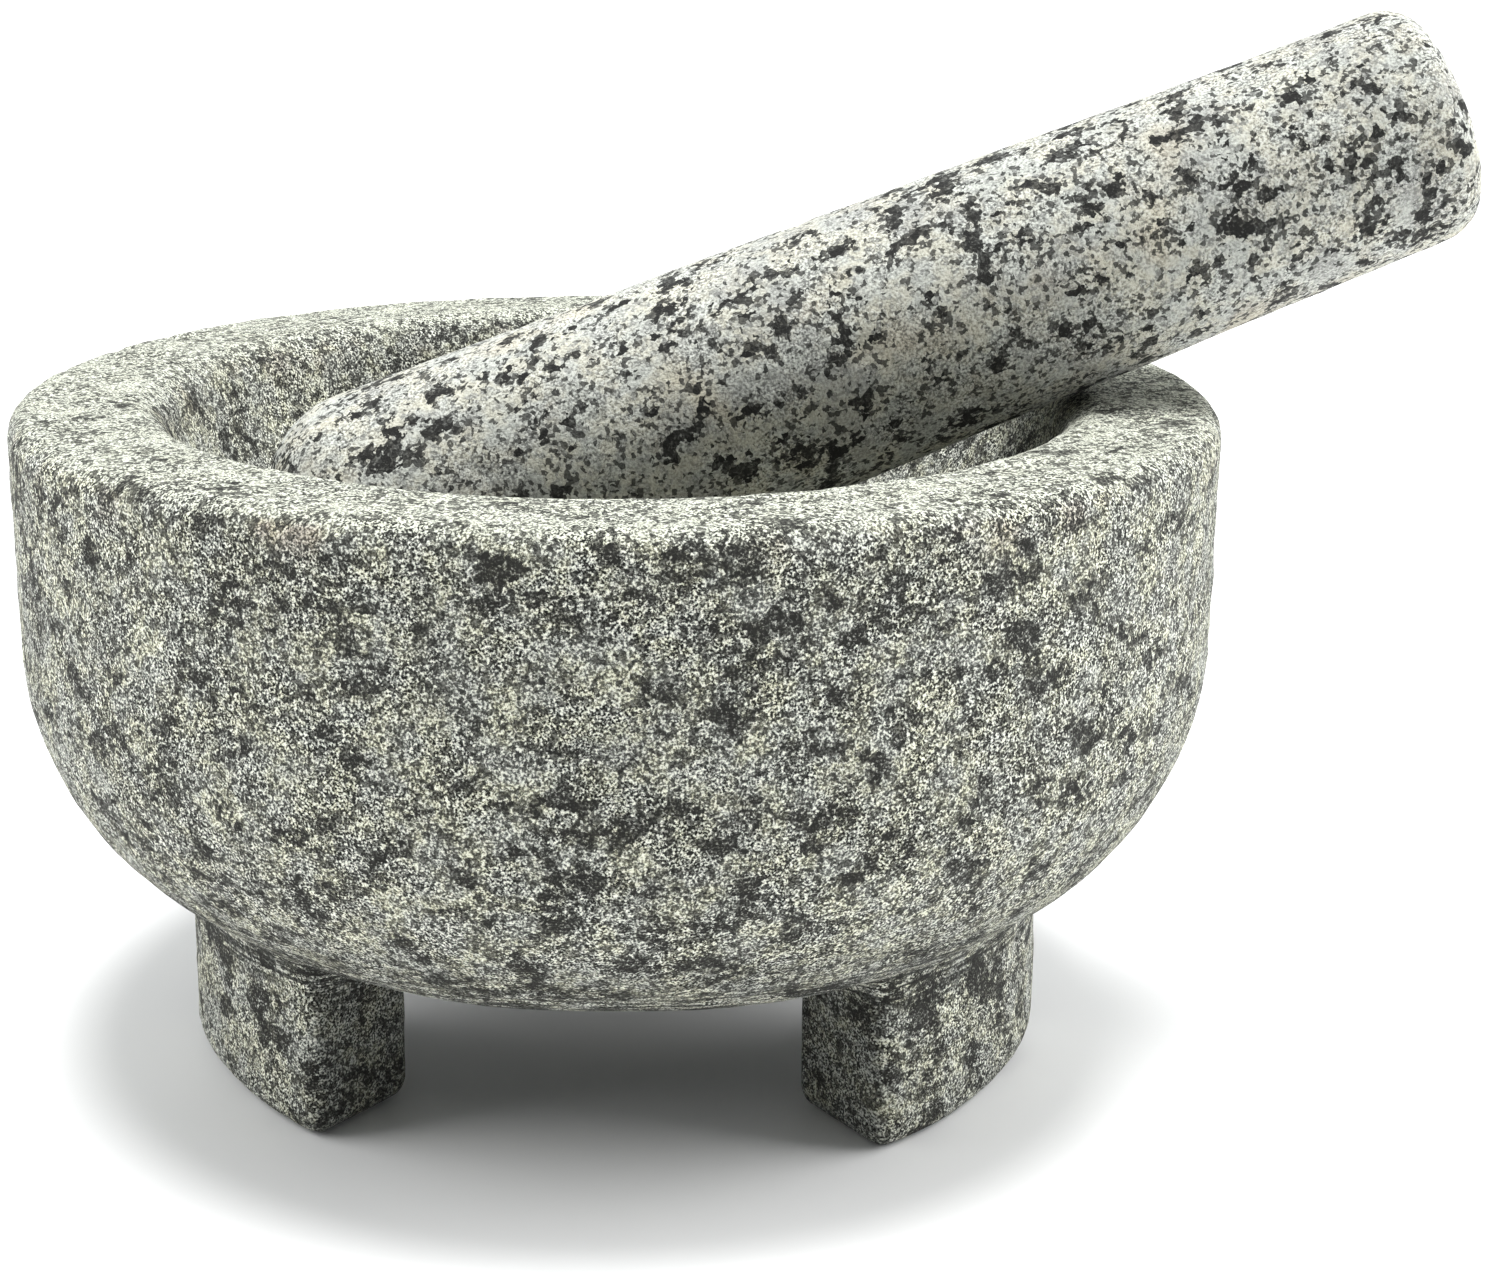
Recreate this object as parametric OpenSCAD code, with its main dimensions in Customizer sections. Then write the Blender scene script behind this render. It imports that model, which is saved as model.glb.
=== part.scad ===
// Stone molcajete: a mortar turned and carved from one block, standing on its own feet,
// and a loose tapered pestle that leans in it. Millimetres, +Z up. The origin is on the
// mortar's axis at table level, the front is -Y and the pestle leans towards +X.

/* [Mortar] */
// Outside diameter of the upright wall
mortar_d = 204; // [170:1:260]
// Height of the rim above the table
rim_h = 113.5; // [100:0.5:150]
// Radius of the turned belly between the wall and the flat underside
belly_r = 47.5; // [30:0.5:55]
// Height of the flat underside above the table
underside_h = 26.5; // [18:0.5:36]
// Rounding of the rim's outer edge
rim_outer_r = 4; // [1:0.5:6]
// Rounding of the rim's inner edge
rim_inner_r = 5; // [1:0.5:8]

/* [Hollow] */
// Diameter of the hollow at the plane of the rim, before its edge is rounded
mouth_d = 154; // [130:1:175]
// Depth of the round hollow below the rim
hollow_depth = 62; // [45:1:72]

/* [Feet] */
// Number of feet
foot_count = 3; // [3:1:4]
// Radius of the ring on which the outer faces of the feet lie
foot_ring_r = 75.5; // [66:0.5:82]
// Thickness of a foot, from its outer to its inner face
foot_wall = 22.5; // [15:0.5:28]
// Part of the ring that one foot takes, in degrees
foot_arc = 45; // [24:1:60]
// Rounding of a foot's bottom edges
foot_edge_r = 3.5; // [1:0.5:7]
// Rounding of a foot's upright edges
foot_corner_r = 3.5; // [1:0.5:6]

/* [Pestle] */
// Length of the pestle, end to end
pestle_l = 210; // [180:1:240]
// Diameter that its taper reaches at the grinding end
grind_d = 49.5; // [44:0.5:64]
// Diameter that its taper reaches at the grip end
grip_d = 39.5; // [28:0.5:48]
// Radius of the domed grinding face
grind_dome_r = 60; // [45:1:90]
// Rounding between the grinding face and the shaft
grind_edge_r = 11; // [6:0.5:15]
// Radius of the slightly domed grip face
grip_dome_r = 90; // [50:1:160]
// Rounding between the grip face and the shaft
grip_edge_r = 5; // [2:0.5:9]
// Tilt of the pestle above the horizontal, in degrees
pestle_lean = 21.7; // [18:0.1:32]
// Gap kept between the resting pestle and the mortar
rest_gap = 0.3; // [0.1:0.05:1]

/* [Hidden] */
stone_grey = [0.70, 0.71, 0.68];
pestle_grey = [0.80, 0.80, 0.78];
spin_fn = 128;
overrun = 1;
// Roundings that run into a curve or a slope are drawn this much too large, so that they cross it
bite = 0.01;

mortar_r = mortar_d / 2;
flat_r = mortar_r - belly_r;
belly_z = underside_h + belly_r;

// The hollow is part of a sphere through the mouth and the lowest point
hollow_r = (pow(mouth_d / 2, 2) + pow(hollow_depth, 2)) / (2 * hollow_depth);
hollow_z = rim_h - hollow_depth + hollow_r;

// Centre of the rounding between the hollow and the rim, outside the sphere and under the rim
lip_z = rim_h - rim_inner_r;
lip_x = sqrt(pow(hollow_r + rim_inner_r, 2) - pow(hollow_z - lip_z, 2));
lip_touch_z = hollow_z + (lip_z - hollow_z) * hollow_r / (hollow_r + rim_inner_r);

// Radial positions of a foot's faces and of its corner roundings
foot_inner_r = foot_ring_r - foot_wall;
corner_out = foot_ring_r - foot_corner_r;
corner_in = foot_inner_r + foot_corner_r;

// A foot runs up into the belly, past the height where its outer face meets it
foot_root = 4;
foot_top = belly_z - sqrt(pow(belly_r, 2) - pow(max(foot_ring_r - flat_r, 0), 2)) + foot_root;
first_foot_angle = 90;

// Pestle outline, along its own axis from the grinding tip at 0
taper = (grind_d - grip_d) / 2 / pestle_l;
taper_angle = atan(taper);
side_normal = [cos(taper_angle), sin(taper_angle)];

// Smaller or larger root of a z^2 - 2 b z + c = 0
function low_root(a, b, c) = (b - sqrt(b * b - a * c)) / a;
function high_root(a, b, c) = (b + sqrt(b * b - a * c)) / a;

// Edge roundings touch the tapered side and the domed face from within
grind_in = grind_d / 2 - grind_edge_r / cos(taper_angle);
grind_z = low_root(1 + taper * taper, grind_in * taper + grind_dome_r,
    grind_in * grind_in + pow(grind_dome_r, 2) - pow(grind_dome_r - grind_edge_r, 2));
grind_x = grind_in - taper * grind_z;
grip_in = grind_d / 2 - grip_edge_r / cos(taper_angle);
grip_dome_z = pestle_l - grip_dome_r;
grip_z = high_root(1 + taper * taper, grip_in * taper + grip_dome_z,
    grip_in * grip_in + pow(grip_dome_z, 2) - pow(grip_dome_r - grip_edge_r, 2));
grip_x = grip_in - taper * grip_z;

// Where each rounding meets its dome, measured out from the axis
grind_touch = grind_x * grind_dome_r / (grind_dome_r - grind_edge_r);
grip_touch = grip_x * grip_dome_r / (grip_dome_r - grip_edge_r);

// Rest pose. The underside of the shaft lies over the rounded rim, and the rounding of the
// grinding end touches the hollow. The centre of that rounding runs along a line parallel to
// the underside, and stops where it is grind_edge_r and the gap short of the hollow.
under_angle = pestle_lean + taper_angle;
under_dir = [cos(under_angle), sin(under_angle)];
under_normal = [-sin(under_angle), cos(under_angle)];
line_start = [lip_x, lip_z] + (rim_inner_r + rest_gap + grind_edge_r) * under_normal;
from_hollow = line_start - [0, hollow_z];
along = from_hollow * under_dir;
reach = along + sqrt(along * along - from_hollow * from_hollow
    + pow(hollow_r - grind_edge_r - rest_gap, 2));
round_centre = line_start - reach * under_dir;
// From that centre back to the pestle's tip, in the pestle's own frame
axis_dir = [cos(pestle_lean), sin(pestle_lean)];
axis_up = [-sin(pestle_lean), cos(pestle_lean)];
pestle_tip = round_centre + grind_x * axis_up - grind_z * axis_dir;

// Section of the turned block: upright wall, round belly, flat underside, rounded rim
module block_section() {
    translate([0, underside_h]) square([flat_r, rim_h - underside_h]);
    intersection() {
        translate([flat_r, belly_z]) circle(r = belly_r, $fn = spin_fn);
        translate([flat_r, underside_h - overrun]) square(belly_r + overrun);
    }
    translate([flat_r, belly_z]) square([belly_r, rim_h - rim_outer_r - belly_z]);
    translate([flat_r, belly_z]) square([belly_r - rim_outer_r, rim_h - belly_z]);
    translate([mortar_r - rim_outer_r, rim_h - rim_outer_r]) circle(r = rim_outer_r, $fn = spin_fn);
}

// Section of the hollow, with the flare that rounds the rim's inner edge
module hollow_section() {
    intersection() {
        translate([0, hollow_z]) circle(r = hollow_r, $fn = spin_fn);
        square([hollow_r, rim_h + overrun]);
    }
    difference() {
        translate([0, lip_touch_z]) square([lip_x, rim_h + overrun - lip_touch_z]);
        translate([lip_x, lip_z]) circle(r = rim_inner_r + bite, $fn = spin_fn);
    }
}

// Section of a foot, with both bottom edges rounded
module foot_section() {
    translate([foot_inner_r, foot_edge_r]) square([foot_wall, foot_top - foot_edge_r]);
    translate([foot_inner_r + foot_edge_r, 0]) square([foot_wall - 2 * foot_edge_r, foot_top]);
    for (x = [foot_inner_r + foot_edge_r, foot_ring_r - foot_edge_r])
        translate([x, foot_edge_r]) circle(r = foot_edge_r, $fn = spin_fn);
}

// Part of a ring, to either side of +X
module ring_part(r_in, r_out, half) {
    far = 2 * r_out;
    intersection() {
        difference() {
            circle(r = r_out, $fn = spin_fn);
            circle(r = r_in, $fn = spin_fn);
        }
        polygon([[0, 0], far * [cos(half), -sin(half)], far * [cos(half), sin(half)]]);
    }
}

// Outline of a foot from above, with its four corners rounded
module foot_plan() {
    half = foot_arc / 2;
    turn_out = half - asin(foot_corner_r / corner_out);
    turn_in = half - asin(foot_corner_r / corner_in);
    ring_part(sqrt(pow(corner_in, 2) - pow(foot_corner_r, 2)),
        sqrt(pow(corner_out, 2) - pow(foot_corner_r, 2)), half);
    ring_part(corner_in, foot_ring_r, turn_out);
    ring_part(foot_inner_r, corner_in + overrun, turn_in);
    for (side = [-1, 1]) {
        rotate([0, 0, side * turn_out]) translate([corner_out, 0])
            circle(r = foot_corner_r + bite, $fn = spin_fn);
        rotate([0, 0, side * turn_in]) translate([corner_in, 0])
            circle(r = foot_corner_r + bite, $fn = spin_fn);
    }
}

module foot(angle) {
    rotate([0, 0, angle]) intersection() {
        rotate_extrude($fn = spin_fn) foot_section();
        linear_extrude(height = foot_top) foot_plan();
    }
}

module mortar() {
    color(stone_grey) {
        rotate_extrude($fn = spin_fn) difference() {
            block_section();
            hollow_section();
        }
        for (i = [0:foot_count - 1]) foot(first_foot_angle + i * 360 / foot_count);
    }
}

// Half outline of the pestle: domed faces, roundings and the tapered side between them
module pestle_section() {
    intersection() {
        translate([0, grind_dome_r]) circle(r = grind_dome_r, $fn = spin_fn);
        square([grind_touch, grind_z]);
    }
    intersection() {
        translate([0, grip_dome_z]) circle(r = grip_dome_r, $fn = spin_fn);
        translate([0, grip_z]) square([grip_touch, pestle_l - grip_z + overrun]);
    }
    translate([grind_x, grind_z]) circle(r = grind_edge_r + bite, $fn = spin_fn);
    translate([grip_x, grip_z]) circle(r = grip_edge_r + bite, $fn = spin_fn);
    polygon([
        [0, grind_z - overrun], [grind_x, grind_z - overrun],
        [grind_x, grind_z] + grind_edge_r * side_normal,
        [grip_x, grip_z] + grip_edge_r * side_normal,
        [grip_x, grip_z + overrun], [0, grip_z + overrun]
    ]);
}

module pestle() {
    color(pestle_grey)
        translate([pestle_tip.x, 0, pestle_tip.y])
            rotate([0, 90 - pestle_lean, 0])
                rotate_extrude($fn = spin_fn) pestle_section();
}

mortar();
pestle();
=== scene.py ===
"""Looks of the stone molcajete: a turned and carved granite mortar and its loose pestle.

The two CAD nodes are replaced by finer stones. Each stone is a signed distance field in
millimetres, meshed evenly and roughened with seeded noise. The scene itself is in metres.
"""
import math

import bpy
import numpy as np
from mathutils import Matrix, Vector


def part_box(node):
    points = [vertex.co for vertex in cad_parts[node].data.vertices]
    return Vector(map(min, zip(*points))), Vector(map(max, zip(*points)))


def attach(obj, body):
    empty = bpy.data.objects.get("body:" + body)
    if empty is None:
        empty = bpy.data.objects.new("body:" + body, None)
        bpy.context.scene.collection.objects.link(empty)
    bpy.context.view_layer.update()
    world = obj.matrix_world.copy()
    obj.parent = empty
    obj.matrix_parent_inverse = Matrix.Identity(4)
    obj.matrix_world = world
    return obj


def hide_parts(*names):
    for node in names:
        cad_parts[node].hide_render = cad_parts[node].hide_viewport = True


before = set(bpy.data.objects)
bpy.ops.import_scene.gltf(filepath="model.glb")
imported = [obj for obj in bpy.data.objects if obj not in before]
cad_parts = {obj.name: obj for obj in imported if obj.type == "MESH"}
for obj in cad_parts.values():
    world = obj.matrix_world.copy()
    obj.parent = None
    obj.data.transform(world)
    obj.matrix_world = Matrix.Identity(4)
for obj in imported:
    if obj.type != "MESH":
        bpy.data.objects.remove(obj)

MM = 0.001


def node_box(name):
    """Lowest and highest corner of a CAD node at rest, in millimetres."""
    return [np.array(corner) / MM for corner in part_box(name)]


# Mortar, in millimetres: the outside from the frame, and the rest as in the CAD model, except for
# the bottom edges, roots and arcs of the feet, which follow the real stone more closely
MORTAR_LOW, MORTAR_HIGH = node_box("mortar")
OUTER_R = (MORTAR_HIGH[0] - MORTAR_LOW[0]) / 2
RIM_Z = MORTAR_HIGH[2]
BELLY_R = 47.5
RIM_EDGE_R = 4.0
UNDERSIDE_Z = 26.5
BELLY_Z = UNDERSIDE_Z + BELLY_R

# The hollow is part of a sphere through the mouth and the lowest point
MOUTH_R = 77.0
HOLLOW_DEPTH = 62.0
LIP_R = 5.0
HOLLOW_R = (MOUTH_R ** 2 + HOLLOW_DEPTH ** 2) / (2 * HOLLOW_DEPTH)
HOLLOW_Z = RIM_Z - HOLLOW_DEPTH + HOLLOW_R

FOOT_OUTER_R = 75.5
FOOT_INNER_R = 53.0
FOOT_CORNER_R = 3.5
FOOT_EDGE_R = 4.0
# A foot ends inside the belly at this height, and has a soft corner this wide around its root
FOOT_ROOT_Z = 44.0
FOOT_BLEND = 5.0
# Middle of each foot and half of its arc, in degrees: carved by hand, so none is quite the same
FEET = ((90.0, 22.0), (209.2, 21.2), (328.2, 23.8))

# Pestle, along its own axis from the grinding tip
PESTLE_L = 210.0
GRIND_R = 24.75
GRIP_R = 19.75
TAPER = (GRIND_R - GRIP_R) / PESTLE_L
GRIND_DOME_R, GRIND_EDGE_R = 60.0, 11.0
GRIP_DOME_R, GRIP_EDGE_R = 90.0, 5.0
PESTLE_LEAN = 21.7

# Voxels that the even skins are made from, and how the points of a skin are then spread out
MORTAR_VOXEL = 1.4
PESTLE_VOXEL = 0.85
RELAX_ROUNDS = 5
RELAX_SLIDE = 0.6

# Unevenness of the mortar from hand work: its height in general, and what is added near the feet
HAND_HEIGHT, HAND_EXTRA_LOW = 0.22, 0.35
HAND_WIDTH, HAND_SEED = 26.0, 3
LOW_FROM_Z, LOW_TO_Z = 45.0, 20.0

# Ridges from turning: height, width and seed, and how far inside the wall they start and are full
RIDGE_HEIGHT, RIDGE_WIDTH, RIDGE_SEED = 0.10, 2.6, 31
RIDGES_START_IN, RIDGES_FULL_IN = 46.0, 36.0
LEVEL_NORMAL_Z = 0.97

# Relief of the stone. Waves are (height, width, seed); pits are (depth, spacing, share, seed).
# "Proud" is the most that a stone may stand out from its smooth shape.
MORTAR_WAVES = ((0.13, 7.0, 11), (0.10, 3.2, 21))
MORTAR_PITS = ((0.55, 7.0, 0.10, 41), (0.35, 4.0, 0.10, 51))
MORTAR_PROUD = 0.35
PESTLE_WAVES = ((0.28, 22.0, 5), (0.09, 5.0, 15), (0.06, 2.2, 25))
PESTLE_PITS = ((0.45, 6.0, 0.10, 35), (0.28, 3.2, 0.12, 45))
PESTLE_PROUD = 0.12


# ---------------------------------------------------------------- seeded noise on points

def lattice_random(cell, seed):
    """One number from 0 to 1 for each whole-numbered lattice point."""
    c = cell.astype(np.int64).astype(np.uint32)
    h = c[..., 0] * np.uint32(374761393) + c[..., 1] * np.uint32(668265263)
    h = h + c[..., 2] * np.uint32(2147483647) + np.uint32(seed * 362437 + 12345)
    h = (h ^ (h >> np.uint32(13))) * np.uint32(1274126177)
    h = (h ^ (h >> np.uint32(16))) * np.uint32(2246822519)
    h = h ^ (h >> np.uint32(15))
    return h.astype(np.float64) / 4294967295.0


def value_noise(p, size, seed):
    """Smooth noise from -1 to 1, with blobs about `size` millimetres across."""
    q = p / size
    base = np.floor(q)
    f = q - base
    f = f * f * f * (f * (f * 6 - 15) + 10)
    total = np.zeros(len(p))
    for dx in (0, 1):
        for dy in (0, 1):
            for dz in (0, 1):
                weight = (f[:, 0] if dx else 1 - f[:, 0]) * (f[:, 1] if dy else 1 - f[:, 1])
                weight = weight * (f[:, 2] if dz else 1 - f[:, 2])
                total += weight * lattice_random(base + np.array([dx, dy, dz]), seed)
    return total * 2 - 1


def layered_noise(p, size, seed, layers=2):
    """Value noise with finer and weaker layers on top."""
    total, strength = np.zeros(len(p)), 1.0
    for i in range(layers):
        total += strength * value_noise(p, size / 2.03 ** i, seed + 17 * i)
        strength *= 0.55
    return total / 1.6


def pit_depth(p, spacing, share, seed):
    """0 away from a pit, up to 1 at its middle. Only a share of the cells holds a pit."""
    q = p / spacing
    base = np.floor(q)
    depth = np.zeros(len(p))
    for dx in (-1, 0, 1):
        for dy in (-1, 0, 1):
            for dz in (-1, 0, 1):
                cell = base + np.array([dx, dy, dz])
                centre = cell + np.stack([lattice_random(cell, seed + k) for k in (1, 2, 3)], axis=1)
                has_pit = lattice_random(cell, seed + 4) < share
                radius = 0.35 + 0.35 * lattice_random(cell, seed + 5)
                near = 1 - np.linalg.norm(q - centre, axis=1) / radius
                depth = np.maximum(depth, np.where(has_pit, np.clip(near, 0, 1), 0))
    return depth * depth * (3 - 2 * depth)


# ---------------------------------------------------------------- signed distance fields

def round_cut(a, b, r):
    """Intersection of two fields, with an edge of radius r."""
    ra, rb = np.maximum(r + a, 0), np.maximum(r + b, 0)
    return np.minimum(np.maximum(a, b), -r) + np.hypot(ra, rb)


def soft_join(a, b, k):
    """Union of two fields with a blend about k millimetres wide in the corner."""
    h = np.clip(0.5 + 0.5 * (b - a) / k, 0, 1)
    return b + (a - b) * h - k * h * (1 - h)


def block_field(p):
    """The turned block: upright wall, round belly, flat underside, rounded rim."""
    wall = np.hypot(p[:, 0], p[:, 1]) - OUTER_R
    low = round_cut(wall, UNDERSIDE_Z - p[:, 2], BELLY_R)
    high = round_cut(wall, p[:, 2] - RIM_Z, RIM_EDGE_R)
    return np.where(p[:, 2] < BELLY_Z, low, high)


def foot_field(p, angle, half_arc):
    """One foot: part of a ring with rounded corners and rounded bottom edges."""
    a, h = math.radians(angle), math.radians(half_arc)
    along = p[:, 0] * math.cos(a) + p[:, 1] * math.sin(a)
    across = np.abs(-p[:, 0] * math.sin(a) + p[:, 1] * math.cos(a))
    r = np.hypot(p[:, 0], p[:, 1])
    mid, half = (FOOT_OUTER_R + FOOT_INNER_R) / 2, (FOOT_OUTER_R - FOOT_INNER_R) / 2
    ring = np.abs(r - mid) - half
    side = across * math.cos(h) - along * math.sin(h)
    upright = round_cut(ring, side, FOOT_CORNER_R)
    standing = round_cut(upright, -p[:, 2], FOOT_EDGE_R)
    return np.maximum(standing, p[:, 2] - FOOT_ROOT_Z)


def mortar_field(p):
    solid = block_field(p)
    for angle, half_arc in FEET:
        solid = soft_join(solid, foot_field(p, angle, half_arc), FOOT_BLEND)
    hollow = np.linalg.norm(p - np.array([0, 0, HOLLOW_Z]), axis=1) - HOLLOW_R
    return round_cut(solid, -hollow, LIP_R)


def pestle_field(p):
    r = np.hypot(p[:, 0], p[:, 1])
    side = (r + TAPER * p[:, 2] - GRIND_R) * math.cos(math.atan(TAPER))
    grind = np.hypot(r, p[:, 2] - GRIND_DOME_R) - GRIND_DOME_R
    grip = np.hypot(r, p[:, 2] - (PESTLE_L - GRIP_DOME_R)) - GRIP_DOME_R
    low = round_cut(side, np.where(p[:, 2] < GRIND_DOME_R, grind, -GRIND_DOME_R), GRIND_EDGE_R)
    high = round_cut(side, grip, GRIP_EDGE_R)
    return np.where(p[:, 2] < PESTLE_L / 2, low, high)


def gradient(field, p, step=0.02):
    """Unit direction in which the field grows fastest."""
    g = np.empty_like(p)
    for axis in range(3):
        shift = np.zeros(3)
        shift[axis] = step
        g[:, axis] = field(p + shift) - field(p - shift)
    return g / np.maximum(np.linalg.norm(g, axis=1, keepdims=True), 1e-9)


# ---------------------------------------------------------------- relief

def waves(p, kinds):
    return sum(height * layered_noise(p, width, seed) for height, width, seed in kinds)


def pits(p, kinds):
    return sum(depth * pit_depth(p, spacing, share, seed) for depth, spacing, share, seed in kinds)


def hand_work(p):
    """Wide unevenness of the mortar, larger low down, where it was cut by hand."""
    low = np.clip((LOW_FROM_Z - p[:, 2]) / (LOW_FROM_Z - LOW_TO_Z), 0, 1)
    return (HAND_HEIGHT + HAND_EXTRA_LOW * low) * layered_noise(p, HAND_WIDTH, HAND_SEED)


def turning_ridges(p, normal):
    """Ridges around the walls of the mortar, and none on its rim, its underside or near its axis."""
    r = np.hypot(p[:, 0], p[:, 1])
    outside = np.clip((r - OUTER_R + RIDGES_START_IN) / (RIDGES_START_IN - RIDGES_FULL_IN), 0, 1)
    on_wall = outside * (np.abs(normal[:, 2]) < LEVEL_NORMAL_Z)
    around = np.arctan2(p[:, 1], p[:, 0])
    long_way_round = np.stack([r * 0.02, p[:, 2], around * 2.2], axis=1)
    return RIDGE_HEIGHT * on_wall * value_noise(long_way_round, RIDGE_WIDTH, RIDGE_SEED)


def mortar_relief(p, normal):
    """How far the worked surface stands out from the smooth one, in millimetres."""
    out = hand_work(p) + waves(p, MORTAR_WAVES) + turning_ridges(p, normal)
    return np.minimum(out - pits(p, MORTAR_PITS), MORTAR_PROUD)


def pestle_relief(p):
    return np.minimum(waves(p, PESTLE_WAVES) - pits(p, PESTLE_PITS), PESTLE_PROUD)


# ---------------------------------------------------------------- meshes

def lathe_mesh(outline, steps):
    """Closed mesh turned from an outline of (radius, height) that starts and ends on the axis."""
    ring = np.linspace(0, 2 * math.pi, steps, endpoint=False)
    verts, faces = [(0, 0, outline[0][1])], []
    for r, z in outline[1:-1]:
        verts += [(r * math.cos(t), r * math.sin(t), z) for t in ring]
    verts.append((0, 0, outline[-1][1]))
    rows = len(outline) - 2
    for i in range(steps):
        j = (i + 1) % steps
        faces.append((0, 1 + j, 1 + i))
        for k in range(rows - 1):
            a, b = 1 + k * steps, 1 + (k + 1) * steps
            faces.append((a + i, a + j, b + j, b + i))
        top = 1 + (rows - 1) * steps
        faces.append((top + i, top + j, len(verts) - 1))
    return verts, faces


def sector_mesh(angle, half_arc, steps=12):
    """Closed block in the rough shape of one foot."""
    top = FOOT_ROOT_Z - 2
    corners = ((FOOT_INNER_R, 0), (FOOT_OUTER_R, 0), (FOOT_OUTER_R, top), (FOOT_INNER_R, top))
    verts, faces = [], []
    for t in np.radians(np.linspace(angle - half_arc, angle + half_arc, steps)):
        verts += [(r * math.cos(t), r * math.sin(t), z) for r, z in corners]
    for i in range(steps - 1):
        for k in range(4):
            m = (k + 1) % 4
            faces.append((4 * i + k, 4 * i + m, 4 * i + 4 + m, 4 * i + 4 + k))
    last = 4 * (steps - 1)
    return verts, faces + [(3, 2, 1, 0), (last, last + 1, last + 2, last + 3)]


def voxel_mesh(parts, voxel):
    """Joins rough closed meshes into one even skin, and returns it with its points in millimetres."""
    verts, faces = [], []
    for part_verts, part_faces in parts:
        faces += [tuple(i + len(verts) for i in f) for f in part_faces]
        verts += part_verts
    rough = bpy.data.meshes.new("rough")
    rough.from_pydata([Vector(v) * MM for v in verts], [], faces)
    obj = bpy.data.objects.new("rough", rough)
    bpy.context.scene.collection.objects.link(obj)
    remesh = obj.modifiers.new("even", "REMESH")
    remesh.mode, remesh.voxel_size = "VOXEL", voxel * MM
    even = bpy.data.meshes.new_from_object(obj.evaluated_get(bpy.context.evaluated_depsgraph_get()))
    bpy.data.objects.remove(obj)
    bpy.data.meshes.remove(rough)
    points = np.empty(3 * len(even.vertices))
    even.vertices.foreach_get("co", points)
    return even, points.reshape(-1, 3) / MM


def relax(mesh, p, field):
    """Evens out the points along the surface and puts them back on it."""
    edges = np.empty(2 * len(mesh.edges), dtype=np.int64)
    mesh.edges.foreach_get("vertices", edges)
    a, b = edges.reshape(-1, 2).T
    count = np.bincount(np.concatenate([a, b]), minlength=len(p))[:, None]
    for _ in range(RELAX_ROUNDS):
        near = np.zeros_like(p)
        for axis in range(3):
            near[:, axis] = np.bincount(a, p[b, axis], len(p)) + np.bincount(b, p[a, axis], len(p))
        p = (1 - RELAX_SLIDE) * p + RELAX_SLIDE * near / count
        for _ in range(2):
            p = p - field(p)[:, None] * gradient(field, p)
    return p


def stone_object(name, mesh, points):
    mesh.vertices.foreach_set("co", (points * MM).ravel())
    mesh.name = name
    mesh.polygons.foreach_set("use_smooth", [True] * len(mesh.polygons))
    mesh.update()
    obj = bpy.data.objects.new(name, mesh)
    bpy.context.scene.collection.objects.link(obj)
    return obj


def mortar_outline():
    """Rough outline for the voxel mesh, from the underside over the rim into the hollow.

    It only has to be near the field's surface, onto which relax() moves the points.
    """
    flat_r = OUTER_R - BELLY_R
    belly = [(flat_r + BELLY_R * math.sin(t), BELLY_Z - BELLY_R * math.cos(t))
             for t in np.linspace(0, math.pi / 2, 24)]
    rim = [(OUTER_R, RIM_Z - 3), (OUTER_R - 3, RIM_Z), (MOUTH_R + 4, RIM_Z)]
    mouth = math.asin(MOUTH_R / HOLLOW_R)
    hollow = [(HOLLOW_R * math.sin(t), HOLLOW_Z - HOLLOW_R * math.cos(t))
              for t in np.linspace(mouth, 0, 40)]
    return [(0, UNDERSIDE_Z)] + belly + rim + hollow[1:-1] + [(0, hollow[-1][1])]


def make_mortar():
    parts = [lathe_mesh(mortar_outline(), 160)]
    parts += [sector_mesh(angle, half_arc) for angle, half_arc in FEET]
    mesh, p = voxel_mesh(parts, MORTAR_VOXEL)
    p = relax(mesh, p, mortar_field)
    normal = gradient(mortar_field, p)
    p = p + normal * mortar_relief(p, normal)[:, None]
    p[:, 2] = np.maximum(p[:, 2], 0)
    return stone_object("mortar_stone", mesh, p)


def pestle_outline():
    """Rough outline for the voxel mesh, from the grinding tip to the grip end, as for the mortar."""
    side = [(GRIND_R - TAPER * z, z) for z in np.linspace(10, PESTLE_L - 4, 20)]
    return [(0, 0), (13, 2), (21.5, 6)] + side + [(GRIP_R - 5, PESTLE_L - 1), (0, PESTLE_L)]


def make_pestle():
    """The pestle is made upright, leaned over, and centred on the box of its CAD node."""
    mesh, p = voxel_mesh([lathe_mesh(pestle_outline(), 120)], PESTLE_VOXEL)
    p = relax(mesh, p, pestle_field)
    lean = np.array(Matrix.Rotation(math.radians(90 - PESTLE_LEAN), 3, "Y"))
    leaned = p @ lean.T
    low, high = node_box("pestle")
    shift = (low + high) / 2 - (leaned.min(axis=0) + leaned.max(axis=0)) / 2
    rough = p + gradient(pestle_field, p) * pestle_relief(p)[:, None]
    return stone_object("pestle_stone", mesh, rough @ lean.T + shift)


# ---------------------------------------------------------------- materials

# Values of the noise, from 0 to 1, over which each thing comes in
WARM_TINT = (0.40, 0.60)
PATCHES = (0.46, 0.68)
CALM_AREAS = (0.42, 0.60)
CRUMBS = (0.50, 0.68)
GLINTS = (0.52, 0.70)
# How far past its "_at" value quartz, or the painted shade in a pit, is there in full
QUARTZ_SOFT = 0.30
PIT_SHADE_SOFT = 0.17
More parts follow.
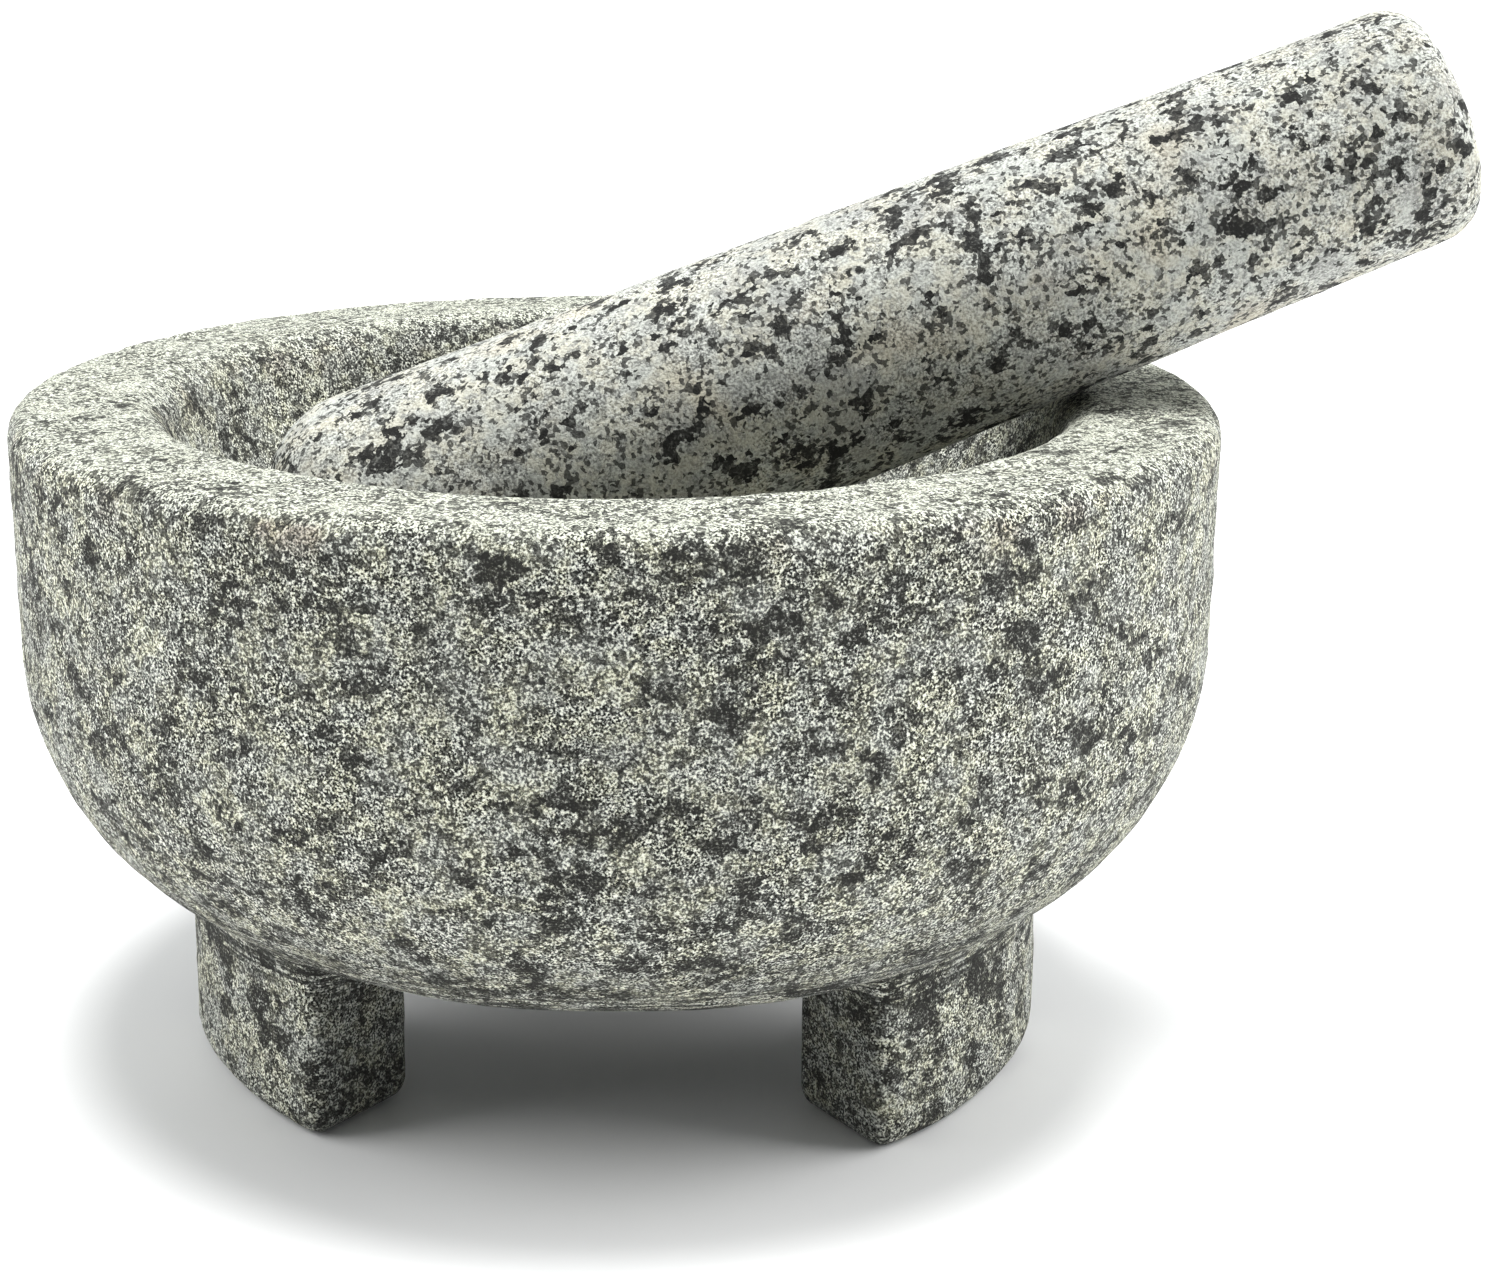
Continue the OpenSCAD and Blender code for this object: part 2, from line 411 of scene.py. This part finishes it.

# Heights on the mortar, in millimetres, from which and to which a finish, painted shade and painted
# light come in
ON_FEET = (UNDERSIDE_Z + 5.5, UNDERSIDE_Z - 2.5)
# Heights where the feet's inward faces get painted shade
ON_SHADED_FEET = (UNDERSIDE_Z + 2.5, UNDERSIDE_Z - 3.5)
OVER_UNDERSIDE = (UNDERSIDE_Z - 4.5, UNDERSIDE_Z + 0.5)
LOW_ON_BELLY = (UNDERSIDE_Z + 25.5, UNDERSIDE_Z + 5.5)
NEAR_RIM = (RIM_Z - 9.5, RIM_Z - 1.5)
ON_RIM_EDGE = (RIM_Z - 4.5, RIM_Z - 0.5)
ON_RIM = (RIM_Z - 3.5, RIM_Z - 0.5)


class Graph:
    """Short calls for building a node tree."""

    def __init__(self, material):
        material.use_nodes = True
        self.tree = material.node_tree
        self.shader = self.tree.nodes["Principled BSDF"]

    def put(self, socket, value):
        """Links an output to the socket, or sets a number, a vector or a colour on it."""
        if isinstance(value, bpy.types.NodeSocket):
            self.tree.links.new(value, socket)
        elif isinstance(value, tuple) and len(value) == 3 and socket.type == "RGBA":
            socket.default_value = (*value, 1)
        else:
            socket.default_value = value

    def node(self, kind, inputs, **settings):
        n = self.tree.nodes.new("ShaderNode" + kind)
        for name, value in settings.items():
            setattr(n, name, value)
        for name, value in inputs.items():
            self.put(n.inputs[name], value)
        return n

    def arithmetic(self, operation, a, b):
        return self.node("Math", {0: a, 1: b}, operation=operation).outputs[0]

    def add(self, a, b):
        return self.arithmetic("ADD", a, b)

    def subtract(self, a, b):
        return self.arithmetic("SUBTRACT", a, b)

    def multiply(self, a, b):
        return self.arithmetic("MULTIPLY", a, b)

    def vector(self, operation, a, b):
        return self.node("VectorMath", {0: a, 1: b}, operation=operation).outputs[0]

    def scale(self, vector, factor):
        return self.node("VectorMath", {0: vector, 3: factor}, operation="SCALE").outputs[0]

    def height(self, vector):
        return self.node("SeparateXYZ", {"Vector": vector}).outputs["Z"]

    def noise_node(self, vector, size, detail, rough):
        return self.node("TexNoise", {"Vector": vector, "Scale": 1 / size, "Detail": detail,
                                      "Roughness": rough})

    def noise(self, vector, size, detail=2.0, rough=0.5):
        """Noise from 0 to 1, with blobs about `size` millimetres across."""
        return self.noise_node(vector, size, detail, rough).outputs["Fac"]

    def cells(self, vector, size):
        """Grains about `size` millimetres across, each with its own random colour."""
        return self.node("TexVoronoi", {"Vector": vector, "Scale": 1 / size, "Randomness": 1.0})

    def random(self, cells, channel):
        return self.node("SeparateColor", {"Color": cells.outputs["Color"]}).outputs[channel]

    def step(self, value, none, full):
        """0 at `none` and beyond, 1 at `full` and beyond, smooth between. Either may be the lower."""
        return self.node("MapRange", {"Value": value, "From Min": none, "From Max": full},
                         interpolation_type="SMOOTHSTEP").outputs[0]

    def mix(self, factor, a, b):
        n = self.node("Mix", {}, data_type="RGBA")
        for socket, value in ((n.inputs[0], factor), (n.inputs[6], a), (n.inputs[7], b)):
            self.put(socket, value)
        return n.outputs[2]


def stone_space(g):
    """Object coordinates in millimetres, and the same bent a little so that grains are ragged."""
    mm = g.scale(g.node("TexCoord", {}).outputs["Object"], 1 / MM)
    bend = g.noise_node(mm, 1.1, 2.0, 0.5).outputs["Color"]
    bend = g.scale(g.vector("SUBTRACT", bend, (0.5, 0.5, 0.5)), 1.5)
    return mm, g.vector("ADD", mm, bend)


def dark_minerals(g, mm, ragged, look):
    """How much of each point is dark mineral: in large clusters, and in small specks."""
    grain, fine = g.cells(ragged, look["grain"]), g.cells(ragged, look["fine"])
    stretched = g.vector("MULTIPLY", mm, look["stretch"])
    cloud = g.noise(stretched, look["cluster"], 3.0, look["cluster_rough"])
    push = g.multiply(g.random(grain, 0), look["grain_push"])
    area = g.multiply(g.noise(mm, 40.0, 1.0), look["area_push"])
    score = g.add(g.add(g.add(cloud, push), area), look["more_dark"](g, mm))
    clusters = g.step(score, look["cluster_at"], look["cluster_at"] + look["cluster_soft"])
    speck = g.add(g.random(fine, 1), g.multiply(cloud, 0.9))
    specks = g.step(speck, look["speck_at"], look["speck_at"] + look["speck_soft"])
    return grain, fine, clusters, specks


def pale_minerals(g, mm, ragged, fine, look):
    """Feldspar in two tints with greyer patches, and single grains of grey quartz."""
    warm = g.step(g.noise(mm, 6.0, 3.0, 0.6), *WARM_TINT)
    colour = g.mix(warm, look["pale_cool"], look["pale_warm"])
    patch = g.step(g.noise(ragged, look["patch_size"], 3.0, 0.6), *PATCHES)
    colour = g.mix(g.multiply(patch, look["patch_strength"]), colour, look["patch"])
    quartz = g.step(g.random(fine, 0), look["quartz_at"], look["quartz_at"] + QUARTZ_SOFT)
    return g.mix(g.multiply(quartz, look["quartz_strength"]), colour, look["quartz"])


def grit_amounts(g, mm, grit, look):
    """Where the rough surface is pale crumbs and where its low pits get painted shade, less so in calm
    areas.
    """
    calm = g.step(g.noise(mm, 9.0), *CALM_AREAS)
    lively = g.subtract(1.0, g.multiply(calm, look["calm"]))
    crumbs = g.multiply(g.step(grit, *CRUMBS), look["powder_strength"])
    pit_shade = g.step(grit, look["pit_shade_at"], look["pit_shade_at"] - PIT_SHADE_SOFT)
    pit_shade = g.multiply(pit_shade, look["pit_shade_strength"])
    return g.multiply(crumbs, lively), g.multiply(pit_shade, lively)


def cluster_amount(g, grain, clusters, grit, look):
    """Each grain of a cluster has its own darkness, and is broken by a few pale glints."""
    darkness = g.add(look["cluster_least"], g.multiply(g.random(grain, 1), 0.20))
    glints = g.multiply(g.step(grit, *GLINTS), look["glint"])
    return g.multiply(g.multiply(darkness, clusters), g.subtract(1.0, glints))


def stone_bump(g, grit, fine, clusters, look):
    """Fine grit over grain-sized relief."""
    grains = g.subtract(g.multiply(g.random(fine, 1), 0.4), g.multiply(clusters, 0.3))
    bump = g.node("Bump", {"Height": g.add(grit, grains), "Strength": look["bump"],
                           "Distance": 0.4 * MM})
    return bump.outputs["Normal"]


def granite(name, look):
    """Unpolished granite: pale feldspar, grey quartz and dark mineral in grains, and fine grit with
    painted shade in its pits.
    """
    material = bpy.data.materials.new(name)
    g = Graph(material)
    mm, ragged = stone_space(g)
    grain, fine, clusters, specks = dark_minerals(g, mm, ragged, look)
    grit = g.noise(mm, look["grit_size"], 2.0, 0.6)
    crumbs, pit_shade = grit_amounts(g, mm, grit, look)
    colour = pale_minerals(g, mm, ragged, fine, look)
    colour = g.mix(crumbs, colour, look["powder"])
    # The overlay holds each look's marks, and on the mortar also painted shade and painted light
    colour = look["overlay"](g, mm, colour)
    # Painted shade in the low pits of the grit, which the bump also sinks
    colour = g.mix(pit_shade, colour, look["grit"])
    colour = g.mix(g.multiply(specks, look["speck_strength"]), colour, look["dark"])
    colour = g.mix(cluster_amount(g, grain, clusters, grit, look), colour, look["dark"])
    g.put(g.shader.inputs["Base Color"], colour)
    g.put(g.shader.inputs["Roughness"], g.add(g.multiply(g.random(fine, 2), 0.2), 0.72))
    g.put(g.shader.inputs["Normal"], stone_bump(g, grit, fine, clusters, look))
    g.shader.inputs["Specular IOR Level"].default_value = 0.12
    return material


def mortar_blotches(g, mm):
    """More and larger dark patches on the feet, taller than wide, and fewer on the rubbed rim."""
    z = g.height(mm)
    tall = g.noise(g.vector("MULTIPLY", mm, (1.0, 1.0, 0.6)), 6.0)
    blotch = g.multiply(g.subtract(tall, 0.50), 0.8)
    feet = g.multiply(blotch, g.step(z, *ON_FEET))
    return g.subtract(feet, g.multiply(g.step(z, *ON_RIM), 0.06))


def no_blotches(g, mm):
    return 0.0


def turning_streaks(g, mm, z, colour):
    """Dark and pale lines around the low part of the belly."""
    lines = g.noise(g.vector("MULTIPLY", mm, (0.08, 0.08, 1.0)), 0.75)
    low = g.multiply(g.step(z, *LOW_ON_BELLY), g.step(z, *OVER_UNDERSIDE))
    dark = g.multiply(g.step(lines, 0.55, 0.44), low)
    colour = g.mix(g.multiply(dark, 0.90), colour, (0.040, 0.042, 0.040))
    pale = g.multiply(g.step(lines, 0.56, 0.66), low)
    return g.mix(g.multiply(pale, 0.60), colour, (0.62, 0.63, 0.56))


def painted_shade_on_feet(g, mm, z, normal, colour):
    """Painted shade, darker and bluer, on the feet's sawn sides and inner faces, which face in under
    the bowl.
    """
    level = g.vector("MULTIPLY", mm, (1.0, 1.0, 0.0))
    away = g.node("VectorMath", {0: level}, operation="NORMALIZE").outputs[0]
    outward = g.node("VectorMath", {0: away, 1: normal}, operation="DOT_PRODUCT").outputs["Value"]
    # Painted shade: foot faces that turn away from outside are mixed toward a dark bluish colour
    foot_shade = g.multiply(g.step(outward, 0.80, 0.45), g.step(z, *ON_SHADED_FEET))
    return g.mix(g.multiply(foot_shade, 0.40), colour, (0.025, 0.033, 0.036))


def rim_wear_light_and_rust(g, mm, z, normal, colour):
    """A paler top of the rim where it faces up, partly the rim's own worn stone and partly painted
    light, and rust along its outer edge.
    """
    top = g.multiply(g.step(z, *ON_RIM_EDGE), g.step(g.height(normal), 0.5, 0.9))
    # Wear and painted light: the up-facing rim top is mixed toward a pale cream
    colour = g.mix(g.multiply(top, 0.75), colour, (0.63, 0.65, 0.55))
    beside = g.multiply(g.step(z, *NEAR_RIM), g.subtract(1.0, top))
    stain = g.step(g.noise(mm, 14.0, 3.0), 0.52, 0.70)
    return g.mix(g.multiply(beside, g.multiply(stain, 0.40)), colour, (0.34, 0.23, 0.15))


def mortar_marks_shade_and_light(g, mm, colour):
    """What the maker's tools and use have left on the stone, with painted shade on the feet and
    painted light on the rim top.
    """
    z = g.height(mm)
    normal = g.node("NewGeometry", {}).outputs["Normal"]
    colour = turning_streaks(g, mm, z, colour)
    colour = painted_shade_on_feet(g, mm, z, normal, colour)
    return rim_wear_light_and_rust(g, mm, z, normal, colour)


def pestle_finish(g, mm, colour):
    """Faint beige stains."""
    stain = g.step(g.noise(mm, 16.0, 4.0, 0.6), 0.54, 0.72)
    return g.mix(g.multiply(stain, 0.35), colour, (0.52, 0.45, 0.31))


# Sizes are in millimetres, and "_at" is the value of its noise at which a thing starts
MORTAR_LOOK = {
    "grain": 1.7, "fine": 0.75, "cluster": 6.8, "cluster_rough": 0.6, "stretch": (0.85, 0.85, 1.3),
    "grain_push": 0.17, "area_push": 0.16, "more_dark": mortar_blotches,
    "cluster_at": 0.75, "cluster_soft": 0.05, "cluster_least": 0.80, "glint": 0.40,
    "speck_at": 1.07, "speck_soft": 0.12, "speck_strength": 0.80, "dark": (0.021, 0.021, 0.019),
    "pale_cool": (0.47, 0.485, 0.44), "pale_warm": (0.60, 0.60, 0.45),
    "patch_size": 10.0, "patch_strength": 0.55, "patch": (0.16, 0.165, 0.15),
    "quartz_at": 0.45, "quartz_strength": 0.60, "quartz": (0.16, 0.17, 0.155),
    # The "grit" colour is painted shade for the low pits of the grit
    "grit_size": 0.38, "pit_shade_at": 0.57, "pit_shade_strength": 1.0, "grit": (0.010, 0.010, 0.009),
    "powder_strength": 1.0, "powder": (0.90, 0.91, 0.81),
    "calm": 0.20, "bump": 1.0, "overlay": mortar_marks_shade_and_light,
}
PESTLE_LOOK = {
    "grain": 1.6, "fine": 0.8, "cluster": 5.6, "cluster_rough": 0.55, "stretch": (1.0, 1.0, 1.0),
    "grain_push": 0.20, "area_push": 0.22, "more_dark": no_blotches,
    "cluster_at": 0.812, "cluster_soft": 0.010, "cluster_least": 0.84, "glint": 0.12,
    "speck_at": 1.22, "speck_soft": 0.03, "speck_strength": 0.84, "dark": (0.018, 0.018, 0.017),
    "pale_cool": (0.45, 0.465, 0.43), "pale_warm": (0.51, 0.50, 0.42),
    "patch_size": 14.0, "patch_strength": 0.6, "patch": (0.27, 0.27, 0.26),
    "quartz_at": 0.60, "quartz_strength": 0.75, "quartz": (0.19, 0.195, 0.185),
    # The "grit" colour is painted shade for the low pits of the grit
    "grit_size": 0.45, "pit_shade_at": 0.53, "pit_shade_strength": 0.70, "grit": (0.06, 0.06, 0.055),
    "powder_strength": 0.85, "powder": (0.68, 0.69, 0.64),
    "calm": 0.5, "bump": 0.6, "overlay": pestle_finish,
}


# ---------------------------------------------------------------- stage, in metres

FLOOR_HALF = 60.0
FLOOR_COLOUR = (0.82, 0.82, 0.82, 1)
# The surroundings grow from dim to bright as a direction turns from front (-1) to back (1)
SURROUNDINGS_TURN = (-0.75, 0.15)
SURROUNDINGS_STRENGTH = (0.10, 0.90)
SURROUNDINGS_COLOUR = (1.0, 1.04, 1.05, 1)
LAMP_SIZE = 1.2
LAMP_TARGET = (0, 0, 0.08)
CAMERA_AT = (0, -0.436, 0.1992)
CAMERA_PITCH = 73.32
CAMERA_LENS = 61.8
CAMERA_SHIFT = 0.0903


def make_floor():
    mesh = bpy.data.meshes.new("floor")
    s = FLOOR_HALF
    mesh.from_pydata([(-s, -s, 0), (s, -s, 0), (s, s, 0), (-s, s, 0)], [], [(0, 1, 2, 3)])
    floor = bpy.data.objects.new("floor", mesh)
    bpy.context.scene.collection.objects.link(floor)
    material = bpy.data.materials.new("pale_floor")
    material.use_nodes = True
    shader = material.node_tree.nodes["Principled BSDF"]
    shader.inputs["Base Color"].default_value = FLOOR_COLOUR
    shader.inputs["Roughness"].default_value = 0.6
    mesh.materials.append(material)
    return floor


def make_lamp(name, location, power):
    """Round soft lamp that faces the object."""
    data = bpy.data.lights.new(name, "AREA")
    data.shape, data.size, data.energy = "DISK", LAMP_SIZE, power
    lamp = bpy.data.objects.new(name, data)
    lamp.location = location
    facing = Vector(LAMP_TARGET) - Vector(location)
    lamp.rotation_euler = facing.to_track_quat("-Z", "Y").to_euler()
    bpy.context.scene.collection.objects.link(lamp)


def make_sun(name, source, angle, strength):
    """Parallel light from the direction of `source`, as soft as a lamp `angle` degrees wide."""
    data = bpy.data.lights.new(name, "SUN")
    data.energy, data.angle = strength, math.radians(angle)
    sun = bpy.data.objects.new(name, data)
    sun.rotation_euler = Vector(source).to_track_quat("Z", "Y").to_euler()
    bpy.context.scene.collection.objects.link(sun)


def make_world():
    """White surroundings that light the object from the sides and back, and little from the front.

    Beyond the floor's edge every view shows the same plain white.
    """
    world = bpy.data.worlds.new("studio")
    world.use_nodes = True
    nodes, links = world.node_tree.nodes, world.node_tree.links
    direction = nodes.new("ShaderNodeTexCoord").outputs["Generated"]
    split = nodes.new("ShaderNodeSeparateXYZ")
    bright = nodes.new("ShaderNodeMapRange")
    bright.interpolation_type = "SMOOTHSTEP"
    ends = zip(("From Min", "From Max", "To Min", "To Max"), SURROUNDINGS_TURN + SURROUNDINGS_STRENGTH)
    for name, value in ends:
        bright.inputs[name].default_value = value
    links.new(direction, split.inputs[0])
    links.new(split.outputs["Y"], bright.inputs["Value"])
    seen = nodes.new("ShaderNodeMath")
    seen.operation = "MAXIMUM"
    links.new(bright.outputs[0], seen.inputs[0])
    links.new(nodes.new("ShaderNodeLightPath").outputs["Is Camera Ray"], seen.inputs[1])
    links.new(seen.outputs[0], nodes["Background"].inputs["Strength"])
    nodes["Background"].inputs["Color"].default_value = SURROUNDINGS_COLOUR
    bpy.context.scene.world = world


def make_lights():
    make_world()
    make_sun("overhead", source=(0.03, 0.05, 1.0), angle=26, strength=4.2)
    make_lamp("right_side", location=(1.25, 0.1, 0.72), power=21.0)
    make_lamp("left_side", location=(-1.25, 0.0, 0.72), power=14.0)


def make_camera():
    data = bpy.data.cameras.new("camera")
    data.lens, data.sensor_width, data.sensor_fit = CAMERA_LENS, 36.0, "HORIZONTAL"
    data.shift_x = CAMERA_SHIFT
    camera = bpy.data.objects.new("camera", data)
    camera.location = CAMERA_AT
    camera.rotation_euler = (math.radians(CAMERA_PITCH), 0, 0)
    bpy.context.scene.collection.objects.link(camera)
    bpy.context.scene.camera = camera


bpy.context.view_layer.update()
make_camera()
make_lights()
floor = make_floor()

mortar, pestle = make_mortar(), make_pestle()
for piece, node, look in ((mortar, "mortar", MORTAR_LOOK), (pestle, "pestle", PESTLE_LOOK)):
    piece.data.materials.clear()
    piece.data.materials.append(granite(node + "_granite", look))
    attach(piece, node)
    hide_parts(node)

bpy.context.scene.view_settings.view_transform = "Standard"
